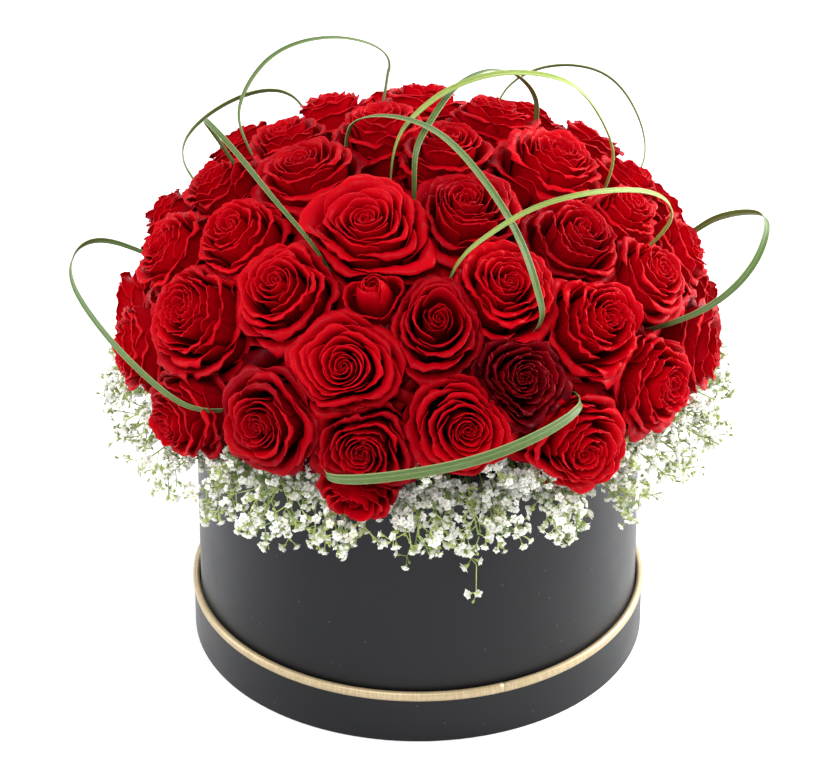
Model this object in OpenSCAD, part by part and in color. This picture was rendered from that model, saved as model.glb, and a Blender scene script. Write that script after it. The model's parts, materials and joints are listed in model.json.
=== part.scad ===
// Round flower box: a paper-covered hat box that stands in its own upturned
// lid and carries a domed bouquet of roses, baby's breath and looped grass.
// Millimetres, +Z up, front towards -Y. The origin is the centre of the
// underside of the lid, where the whole thing rests.

/* [Box] */
// Outer diameter of the box over its paper
box_d = 236; // [232:1:238]
// Height of the box over its paper rim
box_h = 158; // [140:1:160]
// Thickness of the grey board
board_t = 2; // [1.5:0.1:2.5]
// Thickness of the covering paper
paper_t = 0.4; // [0.3:0.1:0.5]
// How far the covering paper is turned down inside the rim
paper_turn = 18; // [10:1:30]

/* [Lid] */
// Height of the lid, which serves as the tray
lid_h = 28; // [22:1:34]
// Air between the box and the lid's side band
lid_gap = 1.1; // [0.8:0.1:1.2]
// Thickness of the gold cord on the lid's rim
trim_d = 3.8; // [3.4:0.1:3.8]
// Azimuth of the butt joint of the gold cord
trim_seam = 8; // [0:1:45]

/* [Insert] */
// Wall of the plastic liner pot
liner_t = 1.2; // [1:0.1:1.6]
// Air between the liner and the box
liner_gap = 0.8; // [0.6:0.1:1]
// Radius of the foam where it stands proud of the rim
foam_r = 98; // [92:1:100]
// Rise of the foam's domed top
foam_rise = 44; // [36:1:46]

/* [Roses] */
// Radius of the dome on which the rose faces lie
dome_r = 150; // [148:1:156]
// Rise of that dome from its widest level to its crown
dome_rise = 109; // [105:1:116]
// Height of the dome's widest level over the box rim
dome_lift = 20; // [20:1:26]
// Height of a rose head from its base to its heart
head_h = 46; // [42:1:48]
// How far a rose head stands over the dome of faces
head_proud = 8; // [6:1:10]
// How much wider the outermost petals are than the face of a rose
head_spread = 1.12; // [1:0.02:1.2]
// Air left between neighbouring rose heads
head_gap = 0.8; // [0.6:0.1:1.2]
// Diameter of a rose stem
stem_d = 4.4; // [3.6:0.1:4.8]
// Length of a rose stem under its hip, at the crown
stem_crown = 46; // [40:1:50]
// Length of a rose stem under its hip, at the widest level
stem_side = 28; // [26:1:30]

/* [Grass] */
// Width of a grass blade
grass_w = 5; // [4:0.5:6]
// Width of a grass blade where it is tucked in between the roses
grass_root_w = 2.6; // [2:0.2:3]
// Thickness of a grass blade
grass_t = 1; // [0.8:0.1:1.2]
// Depth of the blade's ends under the rose faces
grass_root = 62; // [56:1:66]

/* [Baby's breath] */
// Diameter of a cloud of florets in the skirt
cloud_d = 17; // [14:1:17]
// Diameter of a tuft of florets between the lowest roses
tuft_d = 14; // [11:1:14]
// Diameter of a wiry stem
wire_d = 1.4; // [1:0.1:1.6]
// Slope of the ceiling under which the skirt hangs
skirt_slope = 15; // [12:1:15]

/* [Hidden] */
$fn = 64;
tiny = 0.01;
lid_floor = board_t;
rim_z = lid_floor + box_h;
box_r = box_d / 2;
wall_r = box_r - paper_t;
wall_in = wall_r - board_t;
band_in = box_r + lid_gap;
band_out = band_in + board_t;
trim_out = 0.3;
trim_up = 0.6;
trim_r = (band_in + band_out) / 2 + trim_out;
trim_seam_gap = 0.3;
liner_r = wall_in - paper_t - liner_gap;
liner_floor = lid_floor + board_t;
liner_below_rim = 3;
liner_h = box_h - board_t - liner_below_rim;
foam_floor = liner_floor + liner_t;
foam_shoulder_h = 8;
foam_shoulder_w = 6;
dome_z = rim_z + dome_lift;
calyx_r = 5.5;
hip_r = 6;
hip_h = 9;

// Rose heads by ring of the dome. Each is [azimuth from the front, angle down
// from the crown, width of the head], azimuth positive to the right.
crown_ring = [[80, 6, 42], [-140, 12, 44], [-22, 27, 60], [25, 23, 52], [-80, 23, 48], [95, 29, 56]];
upper_ring = [[-66, 43, 48], [-38, 47, 50], [-12, 43, 36], [5, 50, 48], [25, 44, 50], [58, 40, 46],
              [84, 46, 42], [-98, 44, 44]];
middle_ring = [[-16, 61, 52], [-60, 64, 56], [46, 59, 48], [70, 58, 44], [-84, 59, 44], [22, 66, 44],
               [94, 66, 44]];
lower_ring = [[-31, 80, 50], [-11, 82, 50], [9, 76, 50], [33, 88, 52], [57, 82, 48], [80, 88, 46],
              [-54, 92, 50], [-78, 86, 46], [-98, 90, 46], [102, 90, 46], [-12, 96, 34]];
back_upper = [[145, 27, 48], [178, 30, 48], [-148, 35, 46], [-114, 30, 42], [125, 47, 48],
              [153, 52, 50], [-175, 54, 50], [-130, 52, 48], [106, 50, 44]];
back_middle = [[-108, 66, 46], [116, 70, 48], [138, 74, 50], [160, 76, 50], [-176, 79, 50],
               [-153, 72, 50], [-130, 75, 50]];
back_lower = [[-117, 92, 48], [124, 94, 48], [147, 95, 50], [170, 96, 50], [-166, 96, 50],
              [-142, 95, 50]];
front_roses = concat(crown_ring, upper_ring, middle_ring, lower_ring);
back_rings = [back_upper, back_middle, back_lower];
back_names = ["roses_back_upper", "roses_back_middle", "roses_back_lower"];
roses = concat(front_roses, back_upper, back_middle, back_lower);

// Grass blades: each is a list of [azimuth, angle down from the crown, height
// over the rose faces] that it passes, from one tucked-in end to the other.
grass = [
  [[-99, 73, 0], [-98, 73, 26], [-92, 74, 38], [-84, 75, 39], [-74, 75, 34], [-60, 76, 29],
   [-49, 80, 18], [-42, 86, 0]],
  [[-112, 58, 0], [-119, 60, 20], [-127, 58, 27], [-136, 52, 27], [-144, 46, 20], [-149, 44, 0]],
  [[-29, 37, 0], [-43, 36, 26], [-58, 34, 46], [-72, 35, 62], [-86, 36, 40], [-106, 41, 0]],
  [[-123, 46, 0], [-126, 46, 19], [-131, 40, 34], [-138, 36, 41], [-149, 32, 41], [-163, 32, 34],
   [-173, 33, 22], [-164, 40, 0]],
  [[-112, 18, 0], [-108, 12, 12], [-71, 6, 21], [14, 10, 28], [24, 20, 29], [26, 29, 30], [27, 38, 30],
   [27, 46, 27], [28, 52, 17], [31, 56, 0]],
  [[-70, 8, 0], [-27, 2, 18], [70, 4, 32], [90, 10, 41], [95, 16, 45], [96, 24, 46], [98, 30, 37],
   [100, 38, 19], [98, 45, 0]],
  [[-2, 14, 0], [-4, 10, 14], [24, 6, 23], [105, 6, 31], [127, 14, 34], [133, 23, 29], [135, 32, 17],
   [136, 40, 0]],
  [[158, 40, 0], [152, 42, 18], [147, 45, 30], [139, 48, 38], [133, 52, 39], [127, 56, 30], [121, 58, 19],
   [114, 60, 0]],
  [[8, 37, 0], [17, 38, 26], [26, 38, 47], [36, 39, 56], [49, 41, 55], [63, 45, 47], [74, 51, 30],
   [82, 57, 0]],
  [[102, 72, 0], [96, 65, 18], [90, 64, 39], [85, 64, 53], [81, 65, 54], [76, 68, 44], [70, 70, 26],
   [64, 71, 0]],
  [[-21, 91, 0], [-15, 88, 10], [-9, 86, 16], [2, 82, 24], [10, 80, 26], [19, 78, 22], [30, 76, 12],
   [38, 73, 0]]
];

// Tufts of baby's breath between the lowest roses: [azimuth, angle down from
// the crown, reach over the rose faces].
tufts = [[2, 91, 6], [16, 91, 10], [25, 99, 6], [-30, 98, 6], [47, 98, 14], [68, 98, 14], [-42, 98, 12],
         [-66, 98, 14], [-88, 99, 14], [92, 99, 14], [113, 99, 12], [136, 100, 12], [159, 100, 12],
         [-178, 100, 12], [-154, 100, 12], [-130, 99, 12], [-107, 99, 12]];

// Sprigs of the skirt by tier: [turn of the tier, radii where the cloud
// starts and ends, width of the cloud]. They lean straight out over the rim.
breath_tiers = [[0, 126, 166, cloud_d], [7.5, 121.5, 144, 0.7 * cloud_d]];
breath_step = 15;
breath_lean = 27;
wire_root_r = 92;
wire_air = 1.2;
tuft_root = 58;
tuft_back = 16;

front_names = [for (i = [0 : len(front_roses) - 1]) str("rose_", i < 9 ? "0" : "", i + 1)];
grass_names = [for (i = [0 : len(grass) - 1]) str("grass_", i < 9 ? "0" : "", i + 1)];
breath_names = ["breath_front", "breath_right", "breath_back", "breath_left"];

// ---- Lid, upturned ----

module lid_disc() {
  color("#1d1d20") cylinder(r = band_in, h = board_t, $fn = 128);
}

module lid_band() {
  color("#1d1d20") rotate_extrude() translate([band_in, 0]) square([board_t, lid_h]);
}

module lid_wrap() {
  color("#17171a") rotate_extrude() translate([band_out, 0]) square([paper_t, lid_h]);
}

// Gold cord, slotted over the rim of the lid's band; its ends butt together.
module lid_trim() {
  color("#c9a25e")
    rotate([0, 0, trim_seam - 90 + trim_seam_gap / 2])
    rotate_extrude(angle = 360 - trim_seam_gap)
    difference() {
      translate([trim_r, lid_h + trim_up]) circle(d = trim_d, $fn = 32);
      translate([band_in, 0]) square([board_t + paper_t, lid_h]);
    }
}

// ---- Box ----

module box_base() {
  color("#2a2a2e") translate([0, 0, lid_floor]) cylinder(r = wall_in, h = board_t, $fn = 128);
}

module box_wall() {
  color("#2a2a2e") rotate_extrude() translate([wall_in, lid_floor]) square([board_t, box_h - paper_t]);
}

// Black paper: up the outside, over the rim and down inside.
module box_wrap() {
  color("#17171a") rotate_extrude()
    polygon([[wall_r, lid_floor + paper_t], [box_r, lid_floor + paper_t], [box_r, rim_z],
             [wall_in - paper_t, rim_z], [wall_in - paper_t, rim_z - paper_turn],
             [wall_in, rim_z - paper_turn], [wall_in, rim_z - paper_t], [wall_r, rim_z - paper_t]]);
}

// ---- Liner and foam ----

module liner() {
  color("#3c4a3c") translate([0, 0, liner_floor]) rotate_extrude()
    polygon([[0, 0], [liner_r, 0], [liner_r, liner_h], [liner_r - liner_t, liner_h],
             [liner_r - liner_t, liner_t], [0, liner_t]]);
}

// Soaked foam: fills the liner and stands proud of the rim as a low dome.
module foam() {
  foam_in = liner_r - liner_t;
  color("#2f5d3a") rotate_extrude()
    polygon(concat([[0, foam_floor], [foam_in, foam_floor], [foam_in, rim_z - foam_shoulder_h],
                    [foam_r + foam_shoulder_w, rim_z]],
                   [for (a = [0 : 10 : 90]) [foam_r * cos(a), dome_z + foam_rise * sin(a)]]));
}

// ---- Dome of roses ----

function unit(v) = v / norm(v);

// Point of the dome at azimuth a and angle t down from the crown.
function dome_point(a, t) =
  [dome_r * sin(t) * sin(a), -dome_r * sin(t) * cos(a), dome_z + dome_rise * cos(t)];

// Outward direction of the dome at the same place.
function dome_out(a, t) =
  unit([sin(t) * sin(a) / dome_r, -sin(t) * cos(a) / dome_r, cos(t) / dome_rise]);

function dome_place(p) = dome_point(p[0], p[1]) + p[2] * dome_out(p[0], p[1]);

// What else comes up between the heads, as [azimuth, angle down from the
// crown, half the room it needs]: both ends of every blade, and the tufts.
between = concat(
  [for (g = grass, e = [g[0], g[len(g) - 1]]) [e[0], e[1], grass_root_w / 2 + 1]],
  [for (t = tufts) [t[0], t[1], tuft_d / 2 + 0.6]]);

// The skirt hangs under a cone that slopes down and out from over the rim.
skirt_air = 4;
// How near a blade or a tuft has to come to cut into a head's room.
between_reach = 12;
// Least share of a wall's direction that still holds a petal back.
facing = 0.05;

// Walls of the room that rose r has: [direction, distance from the origin].
// Between two heads the wall stands in proportion to their widths.
function head_walls(r) =
  let (p = dome_point(r[0], r[1]))
  concat(
    [for (s = roses)
      let (q = dome_point(s[0], s[1]), d = norm(q - p))
      if (d > tiny && d < r[2] + s[2])
        let (out = (q - p) / d, share = (d * d + (r[2] * r[2] - s[2] * s[2]) / 4) / (2 * d))
        [out, p * out + share - head_gap / 2]],
    [for (s = between)
      let (q = dome_point(s[0], s[1]), up = dome_out(s[0], s[1]), d = norm(q - p))
      if (d < r[2] / 2 + between_reach)
        let (flat = q - p - ((q - p) * up) * up, out = unit(flat))
        [out, q * out - s[2]]],
    [let (out = [-sin(r[0]) * sin(skirt_slope), cos(r[0]) * sin(skirt_slope), -cos(skirt_slope)],
          rim = [box_r * sin(r[0]), -box_r * cos(r[0]), rim_z + skirt_air])
      [out, rim * out]]);

// Rings of a head from its base up and in to its heart:
// [share of the radius, share of the height, dip at the gaps between petals].
petal_rings = [
  [0.66, 0.24, 0], [1.00, 0.56, 1], [0.93, 0.70, 1],
  [0.76, 0.60, 0], [0.70, 0.86, -1],
  [0.52, 0.72, 0], [0.44, 0.97, 1],
  [0.26, 0.84, 0], [0.15, 1.00, 0]
];
petals = 5;
ring_n = 2 * petals;
ring_turn = 7;
dip_r = 0.07;
dip_h = 0.05;
heart_drop = 0.90;
widest = petal_rings[1][1];
head_twist = 2.4;

// Closed rosette: three whorls of reflexed petals round a rolled heart. No
// point of it leaves the room between the walls.
module rose_head(r) {
  n = dome_out(r[0], r[1]);
  base = dome_point(r[0], r[1]) + (head_proud - head_h) * n;
  u = [cos(r[0]), sin(r[0]), 0];
  v = cross(n, u);
  walls = head_walls(r);
  spin = r[0] * head_twist + r[1];
  rings = concat(
    [[for (k = [0 : ring_n - 1]) let (a = spin + k * 360 / ring_n)
      base + calyx_r * (u * cos(a) + v * sin(a))]],
    [for (j = [0 : len(petal_rings) - 1])
      [for (k = [0 : ring_n - 1])
        let (ring = petal_rings[j], a = spin + (k + j * ring_turn / 36) * 360 / ring_n,
             e = u * cos(a) + v * sin(a),
             low = ring[2] == 0 ? 0 : (k + (ring[2] > 0 ? 0 : 1)) % 2,
             z = head_h * (ring[1] - dip_h * low),
             mid = base + n * head_h * widest,
             axis = base + n * z,
             wide = min(concat([head_spread * r[2] / 2], [for (w = walls) if (w[0] * e > facing)
               (w[1] - mid * w[0]) / (w[0] * e)])),
             here = min([for (w = walls) if (w[0] * e > facing) (w[1] - axis * w[0]) / (w[0] * e)]))
        axis + e * min(wide * (ring[0] - dip_r * low), here)]]);
  points = concat([for (ring = rings, p = ring) p], [base + n * head_h * heart_drop]);
  bands = [for (j = [0 : len(rings) - 2], k = [0 : ring_n - 1])
    let (a = j * ring_n + k, b = j * ring_n + (k + 1) % ring_n)
    each [[a, a + ring_n, b], [b, a + ring_n, b + ring_n]]];
  last = (len(rings) - 1) * ring_n;
  heart = [for (k = [0 : ring_n - 1]) [last + k, len(points) - 1, last + (k + 1) % ring_n]];
  polyhedron(points, concat([[for (k = [0 : ring_n - 1]) k]], bands, heart));
}

module rose(r) {
  color("#c8102e") rose_head(r);
}

// Stem, hip and calyx cup of one rose, turned about the head's own axis.
module rose_stem(r) {
  length = stem_side + (stem_crown - stem_side) * max(0, cos(r[1]));
  n = dome_out(r[0], r[1]);
  base = dome_point(r[0], r[1]) + (head_proud - head_h) * n;
  translate(base) rotate([0, acos(n[2]), atan2(n[1], n[0])]) rotate_extrude($fn = 24)
    polygon([[0, 0], [calyx_r, 0], [calyx_r, -1], [hip_r, -3], [hip_r - 0.6, -6], [stem_d / 2, -hip_h],
             [stem_d / 2, -length], [stem_d / 2 - 1, -length - 1], [0, -length - 1]]);
}

module rose_stems() {
  color("#3f6b35") for (r = roses) rose_stem(r);
}

// ---- Grass ----

// Catmull-Rom point at u from 0 to 1 between b and c.
function spline(a, b, c, d, u) =
  0.5 * ((2 * b) + (c - a) * u + (2 * a - 5 * b + 4 * c - d) * u * u + (3 * b - a - 3 * c + d) * u * u * u);

// Stretches of a blade: steps along each, how hard its ends pull down into
// the foam, and how many rings it takes to reach its full width.
grass_steps = 3;
grass_pull = 0.4;
grass_rings = 4;
grass_fold = 0.1;

function tuck_depth(p) = [p[0], p[1], -grass_root];

// Centre line of a blade, from foam to foam, steps points to a stretch.
function blade_line(g, steps) =
  let (n = len(g), pts = concat([dome_place(tuck_depth(g[0]))], [for (p = g) dome_place(p)],
                                [dome_place(tuck_depth(g[n - 1]))]),
       m = len(pts))
  concat([pts[0]],
         [for (i = [1 : m - 3], s = [0 : steps - 1])
           spline(pts[max(i - 1, 1)] + (i == 1 ? (pts[0] - pts[1]) * grass_pull : [0, 0, 0]),
                  pts[i], pts[i + 1],
                  pts[min(i + 2, m - 2)] + (i == m - 3 ? (pts[m - 1] - pts[m - 2]) * grass_pull : [0, 0, 0]),
                  s / steps)],
         [pts[m - 2], pts[m - 1]]);

// Keeled blade: a shallow V in section, narrow where it is tucked in.
module blade(g) {
  line = blade_line(g, grass_steps);
  n = len(line);
  middle = line[floor(n / 2)];
  side = unit(cross(line[n - 2] - line[1], middle - (line[1] + line[n - 2]) / 2));
  points = [for (i = [0 : n - 1])
    let (run = unit(line[min(i + 1, n - 1)] - line[max(i - 1, 0)]),
         out = unit(cross(side, run)),
         wide = unit(cross(run, out)),
         free = min(1, min(max(i - 1, 0), max(n - 2 - i, 0)) / grass_rings),
         w = (grass_root_w + (grass_w - grass_root_w) * free) / 2)
    each [line[i] - wide * w + out * grass_t / 2, line[i] - out * grass_t / 2,
          line[i] + wide * w + out * grass_t / 2, line[i] + out * grass_fold]];
  sides = [for (i = [0 : n - 2], k = [0 : 3])
    let (a = 4 * i + k, b = 4 * i + (k + 1) % 4)
    each [[a, b, a + 4], [b, b + 4, a + 4]]];
  last = 4 * (n - 1);
  polyhedron(points, concat([[3, 2, 1], [3, 1, 0]], sides,
                            [[last, last + 1, last + 3], [last + 1, last + 2, last + 3]]));
}

module grass_blade(g) {
  color("#5f7f4a") blade(g);
}

// ---- Baby's breath ----

// Cloud of florets: a bumpy spindle of revolution, as [radius, height] from
// z = 0 up to its length.
function cloud_profile(d, length) =
  [for (p = [[0.30, 0.03], [0.60, 0.14], [0.48, 0.24], [0.90, 0.38], [0.76, 0.48], [1.00, 0.64],
             [0.74, 0.78], [0.78, 0.86], [0.36, 0.98], [0, 1]])
    [p[0] * d / 2, p[1] * length]];

// Wiry stem with its cloud of florets at the far end, along +Z, turned as
// one: the stem starts in the foam and reaches up to the cloud.
module floret_stem(stem, d, length) {
  rotate_extrude($fn = 24)
    polygon(concat([[0, 0], [wire_d / 2, 0], [wire_d / 2, stem]],
                   [for (p = cloud_profile(d, length)) p + [0, stem]]));
}

// Sprig of the skirt: crosses just over the rim and hangs out under the roses.
module sprig(a, cloud_in, cloud_out, d) {
  over_rim = rim_z + wire_air + (box_r - wire_root_r) * tan(breath_lean);
  rotate([0, 0, a - 90]) translate([wire_root_r, 0, over_rim]) rotate([0, 90 + breath_lean, 0])
    floret_stem((cloud_in - wire_root_r) / cos(breath_lean), d, (cloud_out - cloud_in) / cos(breath_lean));
}

// Tuft of florets on its own straight stem, out between two roses.
module tuft(t) {
  out = dome_out(t[0], t[1]);
  translate(dome_point(t[0], t[1]) - tuft_root * out) rotate([0, acos(out[2]), atan2(out[1], out[0])])
    floret_stem(tuft_root - tuft_back, tuft_d, tuft_back + t[2]);
}

// One quarter of the skirt, centred on azimuth a, with the tufts over it.
module breath(a) {
  color("#f2f3ea") {
    for (tier = breath_tiers, s = [-3 : 2])
      sprig(a + s * breath_step + tier[0], tier[1], tier[2], tier[3]);
    for (t = tufts)
      if (abs((t[0] - a + 540) % 360 - 180) < 45) tuft(t);
  }
}

lid_disc();
lid_band();
lid_wrap();
lid_trim();
box_base();
box_wall();
box_wrap();
liner();
foam();
rose_stems();
for (i = [0 : len(front_roses) - 1])
  rose(front_roses[i]);
for (i = [0 : len(back_rings) - 1])
  for (r = back_rings[i]) rose(r);
for (i = [0 : len(breath_names) - 1])
  breath(i * 90);
for (i = [0 : len(grass) - 1])
  grass_blade(grass[i]);
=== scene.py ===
import json
import math
import random

import bmesh
import bpy
import numpy as np
from bpy.props import FloatProperty, FloatVectorProperty, IntProperty, PointerProperty
from mathutils import Matrix, Vector


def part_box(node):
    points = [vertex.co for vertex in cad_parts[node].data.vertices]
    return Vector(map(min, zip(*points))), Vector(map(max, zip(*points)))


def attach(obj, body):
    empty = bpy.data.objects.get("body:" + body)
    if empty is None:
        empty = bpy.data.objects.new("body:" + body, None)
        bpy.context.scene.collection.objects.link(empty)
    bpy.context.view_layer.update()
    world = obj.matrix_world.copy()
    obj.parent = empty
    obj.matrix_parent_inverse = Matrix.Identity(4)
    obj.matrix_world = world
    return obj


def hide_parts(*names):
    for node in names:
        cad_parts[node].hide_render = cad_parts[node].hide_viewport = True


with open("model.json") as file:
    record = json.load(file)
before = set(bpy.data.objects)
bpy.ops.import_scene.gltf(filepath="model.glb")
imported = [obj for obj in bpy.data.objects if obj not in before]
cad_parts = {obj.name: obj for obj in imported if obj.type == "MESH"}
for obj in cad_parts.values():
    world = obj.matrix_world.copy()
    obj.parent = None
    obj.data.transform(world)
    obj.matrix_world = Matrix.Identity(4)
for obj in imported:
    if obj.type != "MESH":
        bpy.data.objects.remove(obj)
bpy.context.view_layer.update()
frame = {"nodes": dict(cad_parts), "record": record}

# Round flower box: the dress of a paper-covered hat box with a dome of red
# roses, a skirt of baby's breath and looped blades of bear grass. Each head,
# sprig and blade is read from its solid in the frame, so that it lies where
# the solid lies. Metres, +Z up, front towards -Y.

bl_info = {
    "name": "Flower box",
    "version": (1, 0, 0),
    "blender": (4, 5, 0),
    "location": "View3D > Sidebar > Flower box",
    "description": "Builds the roses, grass, baby's breath and papers of a round flower box",
    "category": "Add Mesh",
}

MM = 0.001
RIM_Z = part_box("box_wrap")[1].z
BOX_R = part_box("box_wrap")[1].x
DOME_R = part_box("rose_stems")[1].x
# The dome of roses: its middle, and its rise as a share of its radius.
DOME_MIDDLE = np.array([0, 0, RIM_Z + 20 * MM])
DOME_RISE = 0.75
# Height of the flat gold braid.
BRAID_TALL = 5.2 * MM


def linear(code):
    """A colour given as sRGB hex, such as "c8102e", in linear light."""
    parts = [int(code[i : i + 2], 16) / 255 for i in (0, 2, 4)]
    return [c / 12.92 if c <= 0.04045 else ((c + 0.055) / 1.055) ** 2.4 for c in parts]


def colour(name, code, description):
    """A colour that a user may change, given as sRGB hex."""
    return FloatVectorProperty(
        name=name, description=description, subtype="COLOR", min=0, max=1, default=linear(code)
    )


def length(name, size, low, high, description):
    """A length that a user may change, given in millimetres."""
    size, low, high = (x * MM for x in (size, low, high))
    return FloatProperty(
        name=name, description=description, unit="LENGTH", default=size, min=low, max=high
    )


# ---- What a user may change ----


class RoseLook(bpy.types.PropertyGroup):
    """Roses"""

    petal_red: colour("Petal red", "b8000e", "Lit face of an open petal")
    # Painted shade: the foot of each petal, deep in the bloom, is coloured darker for the shade
    # that falls there.
    petal_foot_shade: colour("Petal depth", "5c0008", "Foot of a petal, deep in the bloom")
    petal_rim: colour("Petal rim", "d81224", "Thin edge of a petal, where light comes through")
    # Also stands for painted shade on the outermost petals, in the gaps between heads.
    petal_dark_and_shade: colour("Dark petals", "480007", "Petals of the oldest, darkest blooms")
    stem_green: colour("Stem green", "6d8a3e", "Stems, hips and sepals")
    petal_thickness: length("Petal thickness", 0.45, 0.2, 1, "Thickness of a petal")
    ruffle: FloatProperty(
        name="Ruffle", description="How much the petals' edges wave", default=1, min=0, max=3
    )
    seed: IntProperty(name="Seed", description="Which set of blooms is grown", default=7, min=0)


class GreenLook(bpy.types.PropertyGroup):
    """Grass"""

    blade_green: colour("Grass green", "536b30", "Bear grass, grey green")
    blade_light: colour("Light grass", "8b9e44", "Younger, lighter blades")
    blade_thickness: length("Blade thickness", 0.5, 0.2, 1, "Thickness of a grass blade")


class BreathLook(bpy.types.PropertyGroup):
    """Baby's breath"""

    floret_white: colour("Floret white", "f0efe7", "Double florets")
    sprig_green: colour("Sprig green", "b3bf6c", "Wiry stems, cups and buds")
    floret_r: length("Floret radius", 2.5, 1.5, 4, "Radius of an open floret")
    branches: IntProperty(
        name="Branches", description="Side branches on a sprig", default=22, min=2, max=40
    )
    seed: IntProperty(name="Seed", description="Which set of sprigs is grown", default=11, min=0)


class BoxLook(bpy.types.PropertyGroup):
    """Box"""

    paper_black: colour("Black paper", "090a0d", "Satin paper round the box and the lid")
    board_grey: colour("Grey board", "7f796d", "Rolled board under the paper")
    gold: colour("Gold", "c0ad88", "Foil braid on the lid's rim")
    liner_grey: colour("Liner", "2f3a31", "Moulded pot")
    foam_green: colour("Foam", "34603b", "Soaked foam")


class StudioLook(bpy.types.PropertyGroup):
    """Studio"""

    elevation: FloatProperty(
        name="Elevation", description="Of the camera", subtype="ANGLE", default=math.radians(31)
    )
    distance: length("Distance", 2400, 500, 9000, "From the camera to the box")
    lens: FloatProperty(name="Lens", description="Focal length in millimetres", default=196.7)
    floor_white: colour("Floor", "f4f4f4", "Pale studio floor")


# ---- Materials ----

# Settings that many nodes share.
SOFT = {"interpolation_type": "SMOOTHSTEP"}
COLOURS = {"data_type": "RGBA"}
TIMES = {"operation": "MULTIPLY"}


def shade(rgb, *factors):
    """A colour made darker or paler, by one factor or by one a channel."""
    return [c * f for c, f in zip(rgb, factors * 3 if len(factors) == 1 else factors)]


def feed(tree, node, inputs):
    """Sets inputs by their name or number: each to a value, to a colour, or
    to the output that feeds it."""
    for name, value in inputs.items():
        socket = node.inputs[name]
        if isinstance(value, bpy.types.NodeSocket):
            tree.links.new(value, socket)
        else:
            socket.default_value = (*value, 1.0) if socket.type == "RGBA" else value


def add_node(tree, kind, settings, inputs, output=0):
    """Adds one node with its settings, feeds its inputs and returns one of its
    outputs, given by name or number."""
    made = tree.nodes.new("ShaderNode" + kind)
    for name, value in settings.items():
        setattr(made, name, value)
    feed(tree, made, inputs)
    return made.outputs[output]


def tinted(tree, under, over, pattern, start, end, least=0.0, most=1.0):
    """Colour under, tinted towards over: by the share least where the pattern
    is at start, and by most where it is at end, with soft ends."""
    reach = {"From Min": start, "From Max": end, "To Min": least, "To Max": most}
    share = add_node(tree, "MapRange", SOFT, {"Value": pattern, **reach})
    return add_node(tree, "Mix", COLOURS, {0: share, 6: under, 7: over}, 2)


def patterns(tree, *wanted):
    """Patterns that lie in a piece, each given by its texture, by how many
    millimetres apart its marks lie, and by its detail."""
    here = add_node(tree, "TexCoord", {}, {}, "Object")
    for texture, size, detail in wanted:
        inputs = {"Vector": here, "Scale": 1 / (size * MM), "Detail": detail}
        yield add_node(tree, "Tex" + texture, {}, inputs)


def cover(tree, shader, tint, *reliefs):
    """Feeds the shader its colour, and reliefs laid over each other, each
    given by its pattern, its strength and its depth in millimetres."""
    surface = {}
    for pattern, strength, depth in reliefs:
        inputs = {"Height": pattern, "Strength": strength, "Distance": depth * MM, **surface}
        surface = {"Normal": add_node(tree, "Bump", {}, inputs)}
    feed(tree, shader, {"Base Color": tint, **surface})


def rose_petal_material(tree, shader, look):
    """Fresh rose petal: velvety, because its skin stands in tiny cones, so it
    hardly shines; the near black at each petal's foot, deep in the bloom, is painted shade."""
    finish = {"Roughness": 0.38, "Specular IOR Level": 0.045}
    feed(tree, shader, {"Base Color": look.petal_red, **finish})
    # Wide mottling, and the cones of the skin, drawn coarse so that they show.
    mottle, cones = patterns(tree, ("Noise", 11.1, 4), ("Noise", 2.38, 2))
    uv = add_node(tree, "UVMap", {"uv_map": "UVMap"}, {})
    along = add_node(tree, "SeparateXYZ", {}, {0: uv}, "Y")
    tone, depth = (
        add_node(tree, "Attribute", {"attribute_name": value}, {}, "Fac")
        for value in ("tone", "depth")
    )
    # Veins fan out some 0.7 mm apart over a petal about 30 mm wide.
    fan = add_node(tree, "VectorMath", TIMES, {0: uv, 1: (42, 3.5, 1)})
    fan = add_node(tree, "VectorMath", {"operation": "ADD"}, {0: fan, 1: tone})
    veins = add_node(tree, "TexNoise", {}, {"Vector": fan, "Scale": 1, "Detail": 3})
    # Towards the dark red where the tone is low: in the darker blooms, and as painted shade on the
    # outermost petals.
    red = tinted(tree, look.petal_dark_and_shade, look.petal_red, tone, 0, 1)
    cool, dark = shade(look.petal_red, 0.817, 1, 1.83), shade(look.petal_red, 0.694, 1, 1.38)
    red = tinted(tree, red, cool, mottle, 0.35, 0.75, most=0.35)
    red = tinted(tree, red, dark, veins, 0.5, 0.75, most=0.34)
    # Painted shade: the foot of each petal, deep in the bloom, goes to the darker red.
    red = add_node(tree, "Mix", COLOURS, {0: depth, 6: look.petal_foot_shade, 7: red}, 2)
    red = tinted(tree, red, look.petal_rim, along, 0.95, 1, most=0.16)
    cover(tree, shader, red, (veins, 0.6, 0.35), (cones, 0.2, 0.3))


def rose_stem_material(tree, shader, look):
    """Green rose wood: waxy, darker in blotches, with a few red flecks."""
    feed(tree, shader, {"Base Color": look.stem_green, "Roughness": 0.5, "Coat Weight": 0.1})
    blotch, fleck = patterns(tree, ("Noise", 4.55, 5), ("Noise", 1.67, 1))
    dark = shade(look.stem_green, 0.233, 0.332, 0.284)
    green = tinted(tree, dark, look.stem_green, blotch, 0.35, 0.7)
    green = tinted(tree, green, linear("6e3328"), fleck, 0.62, 0.75, most=0.6)
    cover(tree, shader, green, (blotch, 0.3, 0.3))


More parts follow.
